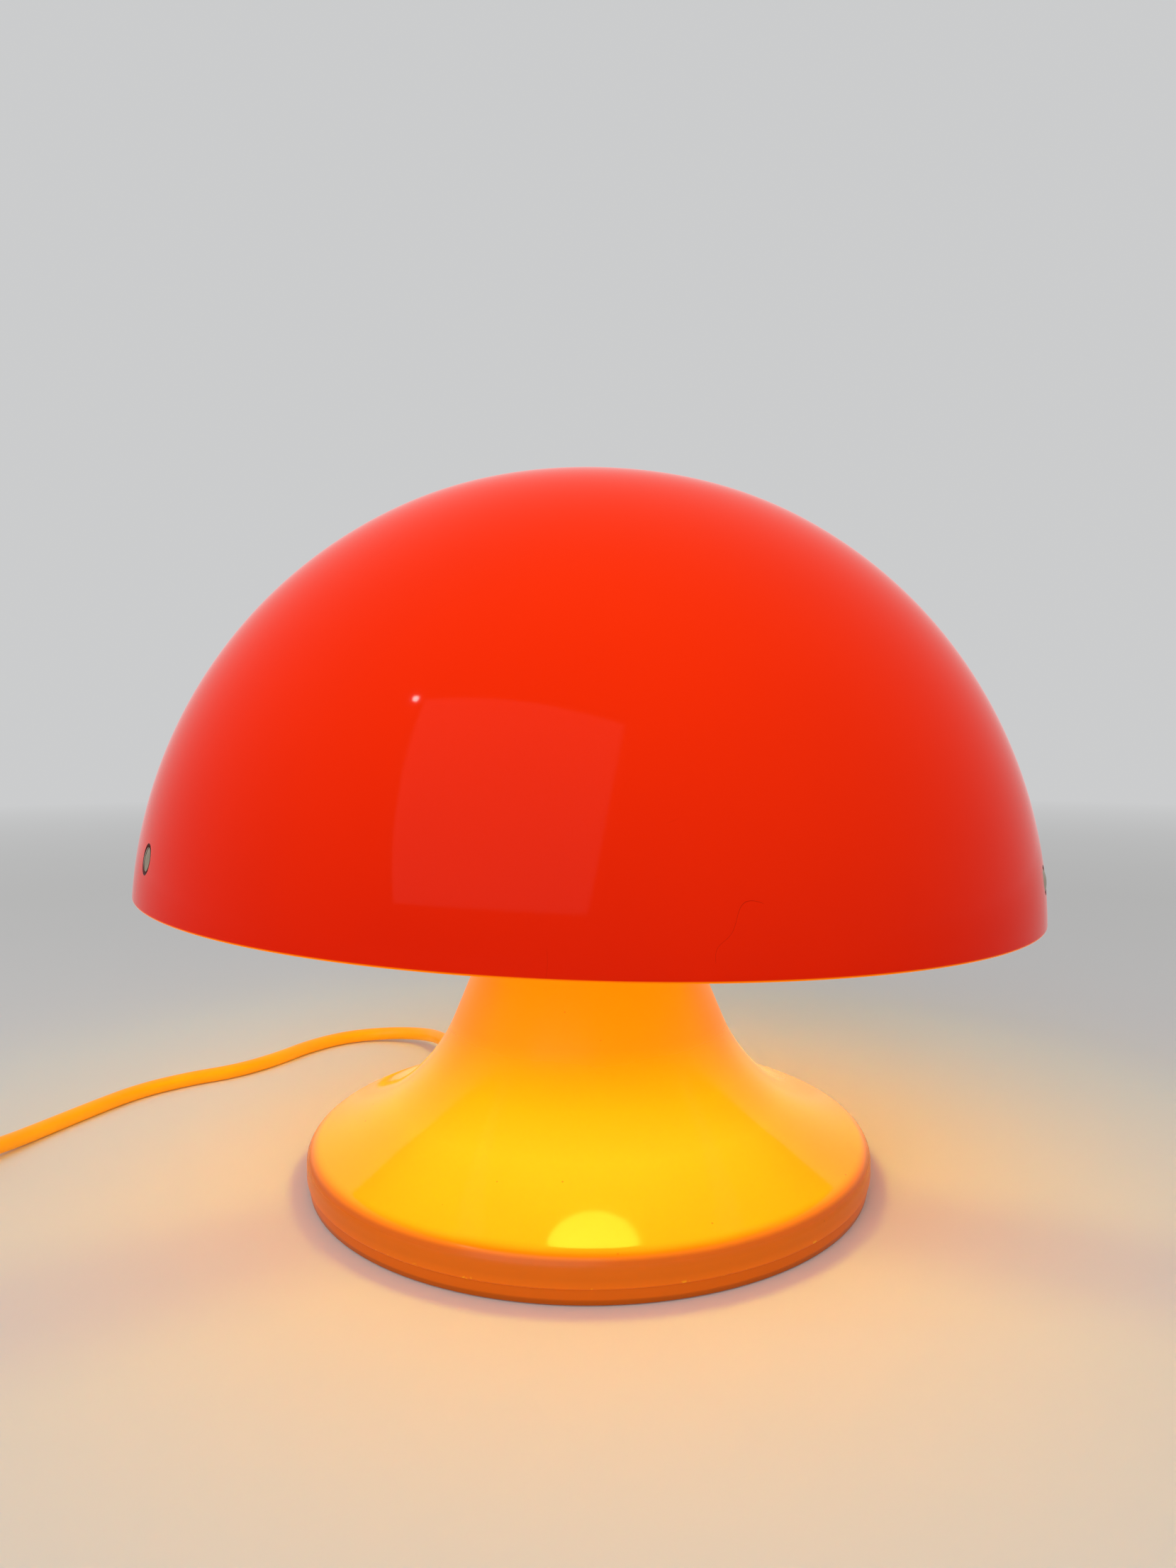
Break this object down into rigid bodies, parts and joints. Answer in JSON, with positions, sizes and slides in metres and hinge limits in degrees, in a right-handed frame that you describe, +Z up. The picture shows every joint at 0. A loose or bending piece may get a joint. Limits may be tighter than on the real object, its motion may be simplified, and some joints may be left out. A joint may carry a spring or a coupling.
{
  "type": "mushroom table lamp",
  "caption": "Dome-shaded table lamp on a flared trumpet base, with a screw-in bulb under the dome and a mains lead with an in-line rocker switch.",
  "frame": {"origin": "on the table, under the middle of the base", "axes": "+Z up, +X to the right, +Y to the back, where the lead leaves the base"},
  "size_m": [0.5024, 0.2996, 0.2419],
  "materials": {
    "shade_acrylic": "gloss orange opal, lit from inside",
    "screw_steel": "satin",
    "carrier_steel": "satin",
    "nipple_steel": "satin",
    "holder_plastic": "smooth",
    "insulator_ceramic": "matt ceramic",
    "contact_brass": "plain",
    "bulb_opal": "opal white, lit",
    "bulb_cap_metal": "bright",
    "bulb_black_glass": "gloss",
    "base_plastic": "gloss orange, opaque",
    "pad_rubber": "matt",
    "ballast_iron": "as cast",
    "flex_pvc": "semi-gloss golden yellow",
    "core_live_pvc": "semi-gloss",
    "core_neutral_pvc": "semi-gloss",
    "clamp_plastic": "matt",
    "tie_plastic": "matt",
    "switch_plastic": "smooth",
    "rocker_plastic": "smooth",
    "pivot_steel": "plain",
    "plug_plastic": "smooth",
    "pin_metal": "nickel-plated brass"
  },
  "bodies": {
    "root": {"shade_dome": "shade_acrylic", "shade_screws": "screw_steel", "shade_washers": "screw_steel", "shade_nuts": "screw_steel", "carrier_hub": "carrier_steel", "carrier_arm_1": "carrier_steel", "carrier_arm_2": "carrier_steel", "carrier_arm_3": "carrier_steel", "arm_rivets": "carrier_steel", "nipple": "nipple_steel", "nipple_washers": "nipple_steel", "nipple_nuts": "nipple_steel", "holder_cap": "holder_plastic", "holder_body": "holder_plastic", "holder_insulator": "insulator_ceramic", "holder_sleeve": "contact_brass", "holder_contact": "contact_brass", "holder_terminals": "contact_brass", "base_shell": "base_plastic", "base_tray": "base_plastic", "tray_screws": "screw_steel", "foot_pads": "pad_rubber", "ballast": "ballast_iron", "ballast_screws": "screw_steel", "cord_gland": "flex_pvc", "cord_clamp": "clamp_plastic", "clamp_screws": "screw_steel", "inner_flex": "flex_pvc", "core_live": "core_live_pvc", "core_neutral": "core_neutral_pvc", "flex_lead": "flex_pvc", "flex_tail": "flex_pvc", "flex_coil": "flex_pvc", "flex_end": "flex_pvc", "coil_tie": "tie_plastic", "switch_lower": "switch_plastic", "switch_upper": "switch_plastic", "switch_pivot": "pivot_steel", "switch_contacts": "contact_brass", "switch_screws": "screw_steel", "switch_flex": "flex_pvc", "plug_body": "plug_plastic", "plug_pins": "pin_metal", "plug_boot": "flex_pvc", "plug_flex": "flex_pvc"},
    "bulb": {"bulb_glass": "bulb_opal", "bulb_cap": "bulb_cap_metal", "bulb_insulator": "bulb_black_glass", "bulb_tip": "bulb_cap_metal"},
    "rocker": {"switch_rocker": "rocker_plastic"}
  },
  "joints": [
    {"name": "bulb_lift", "type": "slide", "parent": "root", "child": "bulb", "axis": [0.0332, 0, 0.9995], "range_m": [0, 0.019]},
    {"name": "switch_press", "type": "hinge", "parent": "root", "child": "rocker", "pos_m": [-0.2325, -0.0705, 0.0118], "axis": [0.9744, -0.225, 0], "range_deg": [0, 16]}
  ]
}
